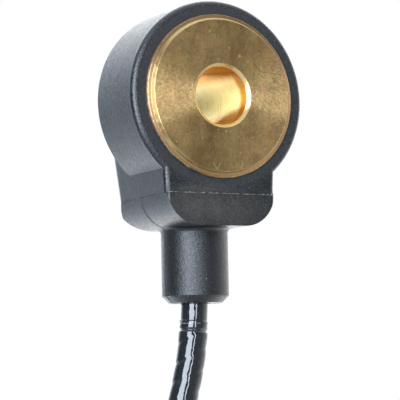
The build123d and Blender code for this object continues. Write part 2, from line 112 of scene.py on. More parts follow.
route_curve = bpy.data.curves.new("lead_route", "CURVE")
route_curve.dimensions = "3D"
route_curve.resolution_u = route_resolution
route_line = route_curve.splines.new("NURBS")
route_line.points.add(len(route) - 1)
for knot, place in zip(route_line.points, route):
    knot.co = (*place, 1)
route_line.order_u = 3
route_line.use_endpoint_u = True
route_object = bpy.data.objects.new("lead_route", route_curve)
scene.collection.objects.link(route_object)
bpy.context.view_layer.update()
drawn_route = route_object.evaluated_get(bpy.context.evaluated_depsgraph_get())
centre_line = bpy.data.meshes.new_from_object(drawn_route)
sampled = [vertex.co.copy() for vertex in centre_line.vertices]
bpy.data.objects.remove(route_object)

# Form of the sheath: its cores' lay, the step where it goes into the gland, and the groove below the gland
core_count = 2
core_lay = 0.0062
lobe_height = 0.00002
lumps_per_metre = 700
crease_depth = 0.00005
crease_width = 0.28
jacket_step_z = -0.0322
jacket_step_height = 0.00015
step_raggedness = 0.00012
step_rags = 2
collar_groove_z = -0.0336
collar_groove_depth = 0.00020
collar_groove_width = 0.00020
collar_end_z = -0.04
sheath_sides = 32
collar_spacing = 0.00008
lead_spacing = 0.0004


def sheath_radius(place, travelled, around):
    """Radius of the sheath: thinner by the gland, grooved below it, and shaped by the two twisted cores."""
    radius = lead_dia / 2
    over_cores = around - 2 * math.pi * travelled / core_lay
    valley = (1 - math.cos(core_count * over_cores)) / 2
    round_sheath = Vector((math.cos(around), math.sin(around), 0))
    ragged = step_raggedness * noise.noise(step_rags * round_sheath)
    if place.z < jacket_step_z + ragged:
        lumps = noise.noise(Vector((travelled * lumps_per_metre, math.cos(around), math.sin(around))))
        radius += lobe_height * (math.cos(core_count * over_cores) + lumps)
        radius -= crease_depth * max(0.0, (valley - 1 + crease_width) / crease_width) ** 2
    else:
        radius -= jacket_step_height
    if place.z > collar_end_z:
        from_groove = (place.z - collar_groove_z) / collar_groove_width
        radius -= collar_groove_depth * math.exp(-(from_groove ** 2))
    return radius


def add_piece(name, shape):
    """Puts a finished shape into the scene as a piece with smooth shading."""
    mesh = bpy.data.meshes.new(name)
    shape.to_mesh(mesh)
    shape.free()
    mesh.shade_smooth()
    piece = bpy.data.objects.new(name, mesh)
    scene.collection.objects.link(piece)
    return piece


def skin(shape, rings):
    """Faces from each ring of corners to the next, with a cap on the first ring and on the last."""
    for ring, next_ring in zip(rings, rings[1:]):
        for step in range(len(ring)):
            after = (step + 1) % len(ring)
            shape.faces.new((ring[step], ring[after], next_ring[after], next_ring[step]))
    shape.faces.new(reversed(rings[0]))
    shape.faces.new(rings[-1])


def tube_along(line, name, sides, radius_at):
    """Mesh tube that follows a line, closed at both ends, with its rings turned as little as possible."""
    shape = bmesh.new()
    rings = []
    travelled = 0.0
    side_way = Vector((1, 0, 0))
    for index, place in enumerate(line):
        along = (line[min(index + 1, len(line) - 1)] - line[max(index - 1, 0)]).normalized()
        side_way = (side_way - along * side_way.dot(along)).normalized()
        other_way = along.cross(side_way)
        if index:
            travelled += (place - line[index - 1]).length
        ring = []
        for step in range(sides):
            around = 2 * math.pi * step / sides
            outward = side_way * math.cos(around) + other_way * math.sin(around)
            ring.append(shape.verts.new(place + outward * radius_at(place, travelled, around)))
        rings.append(ring)
    skin(shape, rings)
    return add_piece(name, shape)


def refined(line, spacing):
    """The same line with more points, so that none lie further apart than the spacing."""
    points = [line[0]]
    for before, after in zip(line, line[1:]):
        count = max(1, math.ceil((after - before).length / spacing))
        points += [before.lerp(after, step / count) for step in range(1, count + 1)]
    return points


def length_of(line):
    """Length along a line of places."""
    return sum((after - before).length for before, after in zip(line, line[1:]))


def node(finish, kind, inputs, **settings):
    """Adds a node, with its inputs fed by values or by other nodes' outputs."""
    made = finish.node_tree.nodes.new(kind)
    for name, value in settings.items():
        setattr(made, name, value)
    for name, value in inputs.items():
        if isinstance(value, bpy.types.NodeSocket):
            finish.node_tree.links.new(value, made.inputs[name])
        else:
            made.inputs[name].default_value = value
    return made


def new_finish(name, colour, roughness, metallic=0.0, **constants):
    """Starts a finish with plain values on its shader."""
    finish = bpy.data.materials.new(name)
    finish.use_nodes = True
    shader = finish.node_tree.nodes["Principled BSDF"]
    shader.inputs["Base Color"].default_value = (*colour, 1)
    shader.inputs["Roughness"].default_value = roughness
    shader.inputs["Metallic"].default_value = metallic
    for socket, value in constants.items():
        shader.inputs[socket.replace("_", " ")].default_value = value
    return finish


def feed(finish, socket, value):
    """Links a pattern to an input of the finish's shader."""
    finish.node_tree.links.new(value, finish.node_tree.nodes["Principled BSDF"].inputs[socket])


def place_on(finish, stretch=(1, 1, 1)):
    """The place on the piece, in metres, stretched along its axes."""
    where = node(finish, "ShaderNodeTexCoord", {}).outputs["Object"]
    return node(finish, "ShaderNodeMapping", {"Vector": where, "Scale": stretch}).outputs["Vector"]


def coordinates(finish):
    """The place on the piece as its separate X, Y and Z, in metres."""
    return node(finish, "ShaderNodeSeparateXYZ", {0: place_on(finish)}).outputs


def grain(finish, size, detail=2.0, roughness=0.5, stretch=(1, 1, 1), distortion=0.0):
    """Cloudy pattern from 0 to 1 with patches of about the given size."""
    return node(finish, "ShaderNodeTexNoise", {
        "Vector": place_on(finish, stretch), "Scale": 1 / size, "Detail": detail, "Roughness": roughness,
        "Distortion": distortion,
    }).outputs["Fac"]


def between(finish, value, low, high, to_low=0.0, to_high=1.0):
    """A value brought from one range to another, and held inside it."""
    return node(finish, "ShaderNodeMapRange", {
        "Value": value, "From Min": low, "From Max": high, "To Min": to_low, "To Max": to_high,
    }).outputs["Result"]


def fading(finish, value, start, end):
    """1 up to the start of a range, falling to 0 at its end."""
    return between(finish, value, start, end, to_low=1.0, to_high=0.0)


def graded(finish, share, at_none, at_full):
    """A level that goes from the first to the second as a share goes from 0 to 1."""
    return between(finish, share, 0.0, 1.0, at_none, at_full)


def patchy(finish, size, low, high, to_low=0.0, to_high=1.0, **texture):
    """Level that varies in cloudy patches: a range of the cloudy pattern, brought to another range."""
    return between(finish, grain(finish, size, **texture), low, high, to_low, to_high)


def calculated(finish, operation, first, second=0.0):
    """Result of one operation on two values."""
    return node(finish, "ShaderNodeMath", {0: first, 1: second}, operation=operation).outputs[0]


def product(finish, *values):
    """Several values multiplied."""
    total = values[0]
    for value in values[1:]:
        total = calculated(finish, "MULTIPLY", total, value)
    return total


def away_from(finish, value, middle):
    """How far a value lies from a middle one, on either side."""
    return calculated(finish, "ABSOLUTE", calculated(finish, "SUBTRACT", value, middle))


def blended(finish, share, first, second):
    """Colour that goes from the first to the second with a share from 0 to 1."""
    def as_colour(colour):
        return (*colour, 1) if isinstance(colour, tuple) else colour
    return node(
        finish, "ShaderNodeMix", {0: share, 6: as_colour(first), 7: as_colour(second)}, data_type="RGBA"
    ).outputs[2]


def relief(finish, heights):
    """Bumps laid over each other, each given as a pattern and its height in metres."""
    normal = None
    for pattern, height in heights:
        bump = node(finish, "ShaderNodeBump", {"Height": pattern, "Distance": height, "Strength": 1.0})
        if normal is not None:
            finish.node_tree.links.new(normal, bump.inputs["Normal"])
        normal = bump.outputs["Normal"]
    feed(finish, "Normal", normal)


def specks(finish, size, share, spread):
    """Scattered specks: 1 on a speck, 0 between them. A share of the cells of the given size holds one."""
    edge = 0.001
    cells = node(finish, "ShaderNodeTexVoronoi", {"Vector": place_on(finish), "Scale": 1 / size})
    picked = node(finish, "ShaderNodeSeparateColor", {"Color": cells.outputs["Color"]})
    holds_one = between(finish, picked.outputs[0], 1 - share, 1 - share + edge)
    own_size = graded(finish, picked.outputs[1], spread / 3, spread)
    inside = calculated(finish, "LESS_THAN", cells.outputs["Distance"], own_size)
    return product(finish, holds_one, inside)


# Black sheath with dust on it, and a pale scuff at the step
sheath_black = (0.010, 0.011, 0.013)
sheath_dust = (0.11, 0.09, 0.065)
sheath_scuff = (0.20, 0.17, 0.13)
scuff_z = -0.03255
scuff_width = 0.00009
sheath_finish = new_finish("glossy_sheath", sheath_black, roughness=0.12, Specular_IOR_Level=0.75)
from_scuff = away_from(sheath_finish, coordinates(sheath_finish)["Z"], scuff_z)
scuffed = product(
    sheath_finish, fading(sheath_finish, from_scuff, scuff_width / 2, scuff_width),
    patchy(sheath_finish, size=0.0007, low=0.45, high=0.60),
)
dusty_sheath = blended(
    sheath_finish, specks(sheath_finish, size=0.0004, share=0.16, spread=0.22), sheath_black, sheath_dust
)
feed(sheath_finish, "Base Color", blended(sheath_finish, scuffed, dusty_sheath, sheath_scuff))
feed(sheath_finish, "Roughness", patchy(
    sheath_finish, size=0.003, low=0.3, high=0.8, to_low=0.05, to_high=0.14
))
sheath_wave_height = 0.00008
sheath_grain_height = 0.000002
relief(sheath_finish, [
    (grain(sheath_finish, size=0.0016), sheath_wave_height),
    (grain(sheath_finish, size=0.0005), sheath_grain_height),
])

collar_count = next(index for index, place in enumerate(sampled) if place.z < collar_end_z)
fine_line = refined(sampled[:collar_count + 1], collar_spacing)
plain_line = refined(sampled[collar_count:], lead_spacing)
lead = tube_along(fine_line + plain_line[1:], "sheathed_lead", sheath_sides, sheath_radius)
lead.data.materials.append(sheath_finish)
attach(lead, "root")
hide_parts("lead", "lead_coil", "lead_tail")

# Housing
# Disc, terminal block, foot and gland, injection-moulded in one shot of black glass-filled nylon round the
# sleeve. The tool's sparked faces leave a fine grain. Its halves meet at the gland's middle, where a little
# flash runs round, and the insert under the disc leaves a ragged burr along the ledge.
nylon_block = (0.0075, 0.0085, 0.0095)
# The disc's and the gland's colours are a lighter and a darker copy of the block's nylon: painted light and
# painted shade.
nylon_disc_painted_lighter = (0.016, 0.0165, 0.0175)
nylon_gland_painted_darker = (0.0065, 0.0075, 0.0085)
nylon_pale = (0.082, 0.086, 0.090)
nylon_dusty = (0.050, 0.046, 0.039)
nylon_speck = (0.30, 0.31, 0.31)
front_zone_y = (0.0012, 0.0035)
block_zone_z = (-0.0135, -0.0125)
gland_zone_z = (-0.0195, -0.0185)
disc_zone_radius = (0.0132, 0.0146)
rim_zone_y = (0.0016, 0.0022)
rim_zone_radius = (0.0131, 0.0134)
foot_dust_place = (-0.0015, 0.0009, -0.0164)
block_dust_place = (-0.0030, 0.0009, -0.0134)
salt_size = 0.00028
salt_on_block = 0.24
salt_on_gland = 0.10


def largest(finish, *values):
    """The largest of several values."""
    most = values[0]
    for value in values[1:]:
        most = calculated(finish, "MAXIMUM", most, value)
    return most


def near(finish, centre, inner, outer, stretch=(1, 1, 1)):
    """1 within the inner distance of a place, falling to 0 at the outer distance, in stretched space."""
    middle = [along * by for along, by in zip(centre, stretch)]
    away = node(
        finish, "ShaderNodeVectorMath", {0: place_on(finish, stretch), 1: middle}, operation="DISTANCE"
    ).outputs["Value"]
    return fading(finish, away, inner, outer)


def from_bore_axis(finish):
    """Distance of the place on the piece from the axis of the bore."""
    across = place_on(finish, stretch=(1, 0, 1))
    return node(finish, "ShaderNodeVectorMath", {0: across}, operation="LENGTH").outputs["Value"]


nylon_finish = new_finish("filled_nylon", nylon_block, roughness=0.4)
nylon_at = coordinates(nylon_finish)
nylon_radius = from_bore_axis(nylon_finish)
front_side = fading(nylon_finish, nylon_at["Y"], *front_zone_y)
below_disc = fading(nylon_finish, nylon_at["Z"], *block_zone_z)
on_gland = fading(nylon_finish, nylon_at["Z"], *gland_zone_z)
on_disc = fading(nylon_finish, nylon_radius, *disc_zone_radius)
foot_dust = near(nylon_finish, foot_dust_place, inner=0.0014, outer=0.0038, stretch=(0.38, 1, 1))
block_dust = near(nylon_finish, block_dust_place, inner=0.0008, outer=0.0032, stretch=(0.6, 1, 1))
front_dust = largest(nylon_finish, foot_dust, product(nylon_finish, block_dust, below_disc))
handled = product(nylon_finish, front_dust, front_side)
cloud = patchy(nylon_finish, size=0.004, low=0.35, high=0.70, detail=5.0, roughness=0.65)
salt = patchy(nylon_finish, size=salt_size, low=0.50, high=0.66, detail=3.0, roughness=0.75)
salt_share = product(nylon_finish, salt, graded(nylon_finish, on_gland, salt_on_block, salt_on_gland))
dust_share = product(
    nylon_finish, handled, graded(nylon_finish, cloud, 0.20, 1.0), graded(nylon_finish, salt, 0.75, 1.2)
)
# The gland takes a darker copy of the nylon as painted shade, and the disc a lighter one as painted light.
block_and_gland = blended(nylon_finish, on_gland, nylon_block, nylon_gland_painted_darker)
nylon_with_painted_light_and_shade = blended(nylon_finish, on_disc, block_and_gland, nylon_disc_painted_lighter)
dusty_nylon = blended(nylon_finish, dust_share, nylon_with_painted_light_and_shade, nylon_dusty)
salted_nylon = blended(nylon_finish, salt_share, dusty_nylon, nylon_pale)
feed(nylon_finish, "Base Color", blended(
    nylon_finish, specks(nylon_finish, size=0.0008, share=0.12, spread=0.11), salted_nylon, nylon_speck
))
rim_front = fading(nylon_finish, nylon_at["Y"], *rim_zone_y)
inside_rim = fading(nylon_finish, nylon_radius, *rim_zone_radius)
off_rim = largest(nylon_finish, below_disc, inside_rim)
on_rim = product(nylon_finish, rim_front, graded(nylon_finish, off_rim, 1.0, 0.0))
mould_roughness = patchy(
    nylon_finish, size=0.0005, low=0.3, high=0.7, to_low=0.28, to_high=0.44, detail=3.0
)
rim_roughness = graded(nylon_finish, salt, 0.12, 0.30)
feed(nylon_finish, "Roughness", blended(nylon_finish, on_rim, mould_roughness, rim_roughness))
nylon_wave_height = 0.00004
nylon_grain_height = 0.000022
spark_height = 0.000058
relief(nylon_finish, [
    (grain(nylon_finish, size=0.005), nylon_wave_height),
    (grain(nylon_finish, size=0.0006), nylon_grain_height),
    (grain(nylon_finish, size=salt_size, detail=4.0, roughness=0.7), spark_height),
])

# Body of the moulding, with its edges rounded
merge_distance = 0.000001
flat_angle = math.radians(0.3)
sharp_angle = math.radians(25.0)
rounding_steps = 2
housing_edge_round = 0.00012


def softened(name, source, edge_round, finish):
    """Copy of a piece of the frame with its sharp edges rounded over, which stands for that piece."""
    shape = bmesh.new()
    shape.from_mesh(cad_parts[source].data)
    bmesh.ops.remove_doubles(shape, verts=shape.verts, dist=merge_distance)
    bmesh.ops.dissolve_limit(shape, angle_limit=flat_angle, verts=shape.verts, edges=shape.edges)
    piece = add_piece(name, shape)
    rounding = piece.modifiers.new("rounding", "BEVEL")
    rounding.width = edge_round
    rounding.segments = rounding_steps
    rounding.limit_method = "ANGLE"
    rounding.angle_limit = sharp_angle
    rounding.harden_normals = True
    piece.modifiers.new("normals", "WEIGHTED_NORMAL").keep_sharp = True
    piece.data.materials.append(finish)
    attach(piece, "root")
    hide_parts(source)
    return piece


softened(
    "moulded_housing", source="housing", edge_round=housing_edge_round, finish=nylon_finish,
)

# Flash where the tool's halves meet, along the cut of the body through the gland's middle
cut_distance = 0.0000001
flash_radius = 0.000055
flash_fade_z = -0.0140
flash_fade = 0.0012
flash_on_disc = 0.1
flash_least = 0.35
flash_lumps_per_metre = 350
flash_spacing = 0.0003
flash_sides = 6


def ordered_loop(edges):
    """Places along the longest closed chain of edges."""
    neighbours = {}
    for edge in edges:
        first, second = edge.verts
        neighbours.setdefault(first, []).append(second)
        neighbours.setdefault(second, []).append(first)
    loops = []
    left = dict.fromkeys(neighbours)
    while left:
        chain = [left.popitem()[0]]
        while True:
            onward = [vertex for vertex in neighbours[chain[-1]] if vertex in left]
            if not onward:
                break
            chain.append(onward[0])
            del left[onward[0]]
        loops.append([vertex.co.copy() for vertex in chain])
    return max(loops, key=length_of)


def at_least(least, share):
    """A share held between 0 and 1, and raised so that it starts at the least one."""
    return least + (1 - least) * max(0.0, min(1.0, share))


def flash_thickness(place, travelled, around):
    """Half thickness of the parting flash, which comes and goes along its way and is faint on the disc."""
    patch = at_least(flash_least, 0.5 + noise.noise(place * flash_lumps_per_metre))
    on_foot = at_least(flash_on_disc, (flash_fade_z - place.z) / flash_fade)
    return flash_radius * on_foot * patch


section = bmesh.new()
section.from_mesh(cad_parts["housing"].data)
bmesh.ops.remove_doubles(section, verts=section.verts, dist=merge_distance)
cut = bmesh.ops.bisect_plane(
    section, geom=section.verts[:] + section.edges[:] + section.faces[:], plane_co=(0, gland_y, 0),
    plane_no=(0, 1, 0), dist=cut_distance,
)
cut_edges = [element for element in cut["geom_cut"] if isinstance(element, bmesh.types.BMEdge)]
parting_line = ordered_loop(cut_edges)
section.free()
flash = tube_along(
    refined(parting_line + parting_line[:1], flash_spacing), "parting_flash", flash_sides, flash_thickness
)
flash.data.materials.append(nylon_finish)
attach(flash, "root")

# Ragged burr along the ledge between block and foot, with a longer nib at its right end
burr_pale = (0.17, 0.152, 0.120)
burr_dark = (0.03, 0.031, 0.03)
burr_relief = 0.00003
burr_finish = new_finish("torn_nylon", burr_dark, roughness=0.6)
feed(burr_finish, "Base Color", blended(
    burr_finish, patchy(burr_finish, size=0.0009, low=0.40, high=0.60, detail=4.0, roughness=0.7),
    burr_dark, burr_pale,
))
feed(burr_finish, "Roughness", patchy(
    burr_finish, size=0.0004, low=0.3, high=0.7, to_low=0.45, to_high=0.75
))
relief(burr_finish, [(grain(burr_finish, size=0.0002), burr_relief)])

ledge_z = -0.0142
ledge_front = 0.0009
ledge_half_length = 0.0087
burr_spacing = 0.00012
burr_thickness = 0.0001
burr_height = 0.00024
burr_usual = 0.45
burr_least = 0.15
burr_tears_per_metre = 1800
burr_teeth_per_metre = 6000
burr_teeth_share = 0.6
burr_leans_per_metre = 2500
burr_nib = 0.00036
burr_nib_steps = 3


def fin(name, bases, tips, half_thickness, across, finish):
    """Thin fin of flash with a sharp rim, standing on a line of bases and reaching to a line of tips."""
    shape = bmesh.new()
    rows = []
    for base, tip, side in zip(bases, tips, across):
        rows.append([
            shape.verts.new(base - side * half_thickness),
            shape.verts.new(base + side * half_thickness),
            shape.verts.new(tip),
        ])
    skin(shape, rows)
    bmesh.ops.recalc_face_normals(shape, faces=shape.faces)
    piece = add_piece(name, shape)
    piece.data.materials.append(finish)
    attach(piece, "root")


def uneven(distance, changes_per_metre, row):
    """Smooth uneven value, from about -0.5 to 0.5, along a distance. Each row has its own."""
    return noise.noise(Vector((distance * changes_per_metre, row, 0)))


burr_bases = []
burr_tips = []
along_ledge = -ledge_half_length
while along_ledge <= ledge_half_length:
    tears = uneven(along_ledge, burr_tears_per_metre, row=3)
    teeth = uneven(along_ledge, burr_teeth_per_metre, row=7)
    height = burr_height * max(burr_least, burr_usual + tears + burr_teeth_share * teeth)
    if along_ledge > ledge_half_length - burr_nib_steps * burr_spacing:
        height = burr_nib
    lean = burr_thickness * uneven(along_ledge, burr_leans_per_metre, row=11)
    burr_bases.append(Vector((along_ledge, ledge_front, ledge_z)))
    burr_tips.append(Vector((along_ledge, ledge_front - burr_thickness + lean, ledge_z + height)))
    along_ledge += burr_spacing
fin("ledge_burr", burr_bases, burr_tips, burr_thickness, [Vector((0, 1, 0))] * len(burr_bases), burr_finish)

# Torn lip of nylon round the flange, longest at its lower side
collar_radius = 0.01194
collar_thickness = 0.00004
collar_base_y = 0.00106
collar_reach = 0.00055
collar_least = 0.06
collar_most = 0.9
collar_turn = 0.5
collar_tears = 9
collar_teeth = 40
collar_teeth_share = 0.5
collar_steps = 720
collar_bases = []
collar_tips = []
collar_across = []
for step in range(collar_steps + 1):
    angle = 2 * math.pi * step / collar_steps
    outward = Vector((math.cos(angle), 0, math.sin(angle)))
    low_side = max(0.0, -math.sin(angle + collar_turn))
    teeth = collar_teeth_share * noise.noise(outward * collar_teeth)
    torn = 0.5 + noise.noise(outward * collar_tears) + teeth
    reach = collar_reach * (collar_least + collar_most * low_side ** 2 * max(0.0, min(1.0, torn)))
    collar_bases.append(outward * collar_radius + Vector((0, collar_base_y, 0)))
    collar_tips.append(outward * collar_radius + Vector((0, collar_base_y - reach, 0)))
    collar_across.append(outward)
fin("flash_collar", collar_bases, collar_tips, collar_thickness, collar_across, nylon_finish)

# Contact sleeve
# Brass sleeve with a flange, turned in one piece. Its face seats on the engine, so it is turned flat and
# left bare, and handling has tarnished it. The bore keeps its fine tool marks, with orange painted shade and
# painted reflection.
brass = (1.0, 0.90, 0.41)
brass_mouth = (0.78, 0.57, 0.26)
brass_orange_shade_and_marks = (0.62, 0.285, 0.032)
brass_handled = (0.77, 0.545, 0.22)
brass_dull = (0.250, 0.156, 0.070)
brass_coppery = (0.39, 0.165, 0.085)
brass_ring = (0.52, 0.32, 0.16)
brass_ring_painted_light = (0.82, 0.53, 0.25)
brass_wall = (0.66, 0.50, 0.25)
brass_bevel_darkened = (0.24, 0.155, 0.058)
brass_fleck = (1.0, 0.70, 0.34)
brass_dark = (0.16, 0.105, 0.055)
mouth_radius = (0.00422, 0.00428)
chamfer_radius = (0.00467, 0.00475)
ring_radius = (0.0108, 0.0110)
ring_depth_y = (0.00005, 0.00012)
ring_flat_y = (0.00048, 0.00053)
ring_corner_radius = (0.01110, 0.01130)
ring_edge_radius = (0.01165, 0.01190)
ring_painted_light_z = (-0.003, -0.009)
# Where the bevel is darkened: at the left as painted shade, and towards the bottom.
bevel_painted_shade_x = (-0.0080, -0.0098)
bevel_darker_z = (-0.0062, -0.0088)
# Where the bore's orange painted shade and painted reflection lie.
mouth_painted_shade_y = (0.0016, 0.0026)
deep_painted_shade_y = (0.006, 0.011)
top_painted_shade_z = (0.0026, 0.0036)
low_painted_shade_z = (-0.0014, -0.0030)
coarse_tarnish_share = 0.55
fine_tarnish_share = 0.45
brown_share = 0.85
tool_mark_scale = 480.0

brass_finish = new_finish(
    "turned_brass", brass, roughness=0.3, metallic=1.0, Anisotropic=0.9, Anisotropic_Rotation=0.25
)
brass_at = coordinates(brass_finish)
brass_radius = from_bore_axis(brass_finish)
outside = between(brass_finish, brass_radius, *chamfer_radius)
in_bore = graded(brass_finish, outside, 1.0, 0.0)
on_ring = product(
    brass_finish, between(brass_finish, brass_radius, *ring_radius),
    between(brass_finish, brass_at["Y"], *ring_depth_y),
)
on_flat = between(brass_finish, brass_at["Y"], *ring_flat_y)

# Bore: rings from the tool, with orange painted shade and painted reflection at its mouth, deep inside,
# above and below
tool_marks = node(brass_finish, "ShaderNodeTexWave", {
    "Vector": place_on(brass_finish), "Scale": tool_mark_scale, "Distortion": 5.0, "Detail": 3.0,
    "Detail Scale": 0.8,
}, wave_type="BANDS", bands_direction="Y").outputs["Fac"]
mark_share = patchy(
    brass_finish, size=0.0011, low=0.35, high=0.65, to_low=0.04, to_high=0.34, detail=3.0
)
# The orange at the mouth, deep inside, above and below is painted shade and painted reflection of the brass
# in itself.
painted_shade_at_mouth = fading(brass_finish, brass_at["Y"], *mouth_painted_shade_y)
painted_shade_deep = between(brass_finish, brass_at["Y"], *deep_painted_shade_y, to_high=0.15)
painted_shade_at_top = between(brass_finish, brass_at["Z"], *top_painted_shade_z, to_high=0.85)
painted_shade_at_bottom = between(brass_finish, brass_at["Z"], *low_painted_shade_z, to_high=0.8)
painted_bore_shade = largest(brass_finish, painted_shade_at_mouth, painted_shade_deep, painted_shade_at_top, painted_shade_at_bottom)
painted_shade_and_tool_marks = calculated(brass_finish, "ADD", painted_bore_shade, product(brass_finish, tool_marks, mark_share))
inside_mouth = fading(brass_finish, brass_radius, *mouth_radius)
bore_with_painted_shade = blended(brass_finish, painted_shade_and_tool_marks, brass, brass_orange_shade_and_marks)
bore_colour = blended(brass_finish, inside_mouth, brass_mouth, bore_with_painted_shade)

# Face: handled brass under coarse and fine tarnish, coppery in places and brown in others
tarnish = patchy(brass_finish, size=0.003, low=0.30, high=0.75, detail=5.0, roughness=0.6)
fine_tarnish = patchy(brass_finish, size=0.00032, low=0.36, high=0.66, detail=4.0, roughness=0.75)
dull_share = calculated(
    brass_finish, "ADD", product(brass_finish, tarnish, coarse_tarnish_share),
    product(brass_finish, fine_tarnish, fine_tarnish_share),
)
coppery = patchy(
    brass_finish, size=0.0022, low=0.40, high=0.62, detail=4.0, roughness=0.6, distortion=0.4
)
brown = patchy(brass_finish, size=0.005, low=0.46, high=0.78, detail=7.0, roughness=0.78)
tarnish_colour = blended(brass_finish, coppery, brass_dull, brass_coppery)
handled_face = blended(brass_finish, dull_share, brass_handled, tarnish_colour)
face_colour = blended(brass_finish, product(brass_finish, brown, brown_share), handled_face, brass_dark)

# Ring round the face: a bevel, darkened at the left as painted shade and darker towards the bottom, and a
# flat, lighter towards the bottom as painted light and darker in patches in its corner and at its edge
# The flat is darker in patches in its corner and at its outer edge.
ring_dark_patches = patchy(brass_finish, size=0.0006, low=0.35, high=0.60, detail=4.0, roughness=0.7)
at_edge = between(brass_finish, brass_radius, *ring_edge_radius, to_high=0.8)
in_corner = between(brass_finish, brass_radius, *ring_corner_radius, to_low=0.6, to_high=0.0)
ring_darker_share = product(
    brass_finish, largest(brass_finish, at_edge, in_corner), product(brass_finish, ring_dark_patches, on_flat)
)
# The bevel is darkened at the left as painted shade, and is darker towards the bottom.
bevel_painted_shade_left = between(brass_finish, brass_at["X"], *bevel_painted_shade_x, to_high=0.85)
bevel_darker_low = between(brass_finish, brass_at["Z"], *bevel_darker_z, to_high=0.75)
bevel_colour = blended(brass_finish, largest(brass_finish, bevel_painted_shade_left, bevel_darker_low), brass_wall, brass_bevel_darkened)
# The flat is lighter towards the bottom: painted light.
flat_colour = blended(
    brass_finish, between(brass_finish, brass_at["Z"], *ring_painted_light_z), brass_ring, brass_ring_painted_light
)
clean_ring = blended(brass_finish, on_flat, bevel_colour, flat_colour)
ring_colour = blended(brass_finish, ring_darker_share, clean_ring, brass_dark)
front_colour = blended(brass_finish, on_ring, face_colour, ring_colour)
worn_brass = blended(brass_finish, in_bore, front_colour, bore_colour)

# Scratches on the face, from end to end in x and z, and nicks, each with its place and two radii
scratch_width = 0.00007
bright_scratches = [
    ((-0.0018, -0.0099), (-0.0012, -0.0108)),
    ((-0.0007, -0.0099), (-0.0011, -0.0107)),
    ((0.0030, -0.0097), (0.0028, -0.0105)),
]
faint_scratch = ((0.0030, 0.0061), (0.0042, 0.0076))
faint_scratch_share = 0.22
dark_scratches = [
    ((0.0051, 0.0051), (0.0065, 0.0038)),
    ((0.0065, 0.0038), (0.0100, 0.0036)),
]
dark_gouge = ((0.0086, 0.0030), (0.0088, 0.0023))
dark_mark_share = 0.6
nicks = [
    ((0.0029, 0, 0.0059), 0.00010, 0.00034),
    ((0.0012, 0, 0.0070), 0.00006, 0.00018),
    ((0.0043, 0, 0.0052), 0.00006, 0.00018),
    ((-0.0020, 0, 0.0092), 0.00006, 0.00018),
    ((0.0004, 0, -0.0052), 0.00006, 0.00020),
    ((-0.0009, 0, -0.0051), 0.00005, 0.00015),
    ((-0.0035, 0, -0.0064), 0.00005, 0.00014),
]


def stroke(finish, ends, width):
    """1 along a straight scratch between two places given in x and z, 0 beside it."""
    start, end = (Vector((x, 0, z)) for x, z in ends)
    run = end - start
    from_start = node(finish, "ShaderNodeVectorMath", {
        0: place_on(finish, stretch=(1, 0, 1)), 1: start
    }, operation="SUBTRACT").outputs[0]
    along = node(finish, "ShaderNodeVectorMath", {
        0: from_start, 1: run / run.length_squared
    }, operation="DOT_PRODUCT").outputs["Value"]
    share = between(finish, along, 0.0, 1.0)
    nearest = node(finish, "ShaderNodeVectorMath", {0: run, "Scale": share}, operation="SCALE").outputs[0]
    away = node(
        finish, "ShaderNodeVectorMath", {0: from_start, 1: nearest}, operation="DISTANCE"
    ).outputs["Value"]
    return fading(finish, away, width / 2, width)


bright_marks = largest(
    brass_finish, specks(brass_finish, size=0.0007, share=0.10, spread=0.13),
    product(brass_finish, stroke(brass_finish, faint_scratch, scratch_width), faint_scratch_share),
    *(stroke(brass_finish, ends, scratch_width) for ends in bright_scratches),
    *(near(brass_finish, place, inner, outer) for place, inner, outer in nicks),
)
dark_marks = largest(
    brass_finish, stroke(brass_finish, dark_gouge, 2 * scratch_width),
    *(stroke(brass_finish, ends, scratch_width) for ends in dark_scratches),
)
marked_brass = blended(
    brass_finish, product(brass_finish, dark_marks, dark_mark_share), worn_brass, brass_dark
)
feed(brass_finish, "Base Color", blended(
    brass_finish, product(brass_finish, bright_marks, outside), marked_brass, brass_fleck
))
feed(brass_finish, "Tangent", node(
    brass_finish, "ShaderNodeTangent", {}, direction_type="RADIAL", axis="Y"
).outputs["Tangent"])
face_roughness = patchy(
    brass_finish, size=0.0004, low=0.3, high=0.7, to_low=0.28, to_high=0.44, detail=4.0, roughness=0.7
)
bore_roughness = graded(brass_finish, tool_marks, 0.36, 0.40)
ring_roughness = graded(brass_finish, on_flat, 0.46, 0.42)
feed(brass_finish, "Roughness", blended(
    brass_finish, on_ring, blended(brass_finish, in_bore, face_roughness, bore_roughness), ring_roughness
))
face_grain = grain(brass_finish, size=0.0004, detail=4.0, roughness=0.65)
face_grain_height = 0.000010
tool_mark_height = 0.0000025
relief(brass_finish, [
    (product(brass_finish, face_grain, outside), face_grain_height),
    (product(brass_finish, tool_marks, in_bore), tool_mark_height),
])
sleeve_edge_round = 0.00002
softened(
    "turned_sleeve", source="contact_sleeve", edge_round=sleeve_edge_round, finish=brass_finish,
)

# Sensing stack
# Held inside the disc on the sleeve's hub: film insulators, stamped brass contacts on both sides of the
# ceramic ring, the steel mass, and the disc spring and nut that press the stack together.
film_amber = (0.60, 0.46, 0.20)
film_brown = (0.42, 0.27, 0.09)
film_relief = 0.00002


def dress(names, finish):
    """Gives pieces of the frame their finish."""
    for name in names:
        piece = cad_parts[name]
        if not piece.material_slots:
            piece.data.materials.append(finish)
        for slot in piece.material_slots:
            slot.material = finish


film_finish = new_finish("insulating_film", film_amber, roughness=0.25, Coat_Weight=0.3)
feed(film_finish, "Base Color", blended(
    film_finish, grain(film_finish, size=0.002, detail=3.0), film_brown, film_amber
))
feed(film_finish, "Roughness", patchy(
    film_finish, size=0.0007, low=0.3, high=0.7, to_low=0.18, to_high=0.36
))
relief(film_finish, [(grain(film_finish, size=0.0012, stretch=(1, 4, 1)), film_relief)])
dress(["insulating_tube", "front_insulator", "rear_insulator"], film_finish)

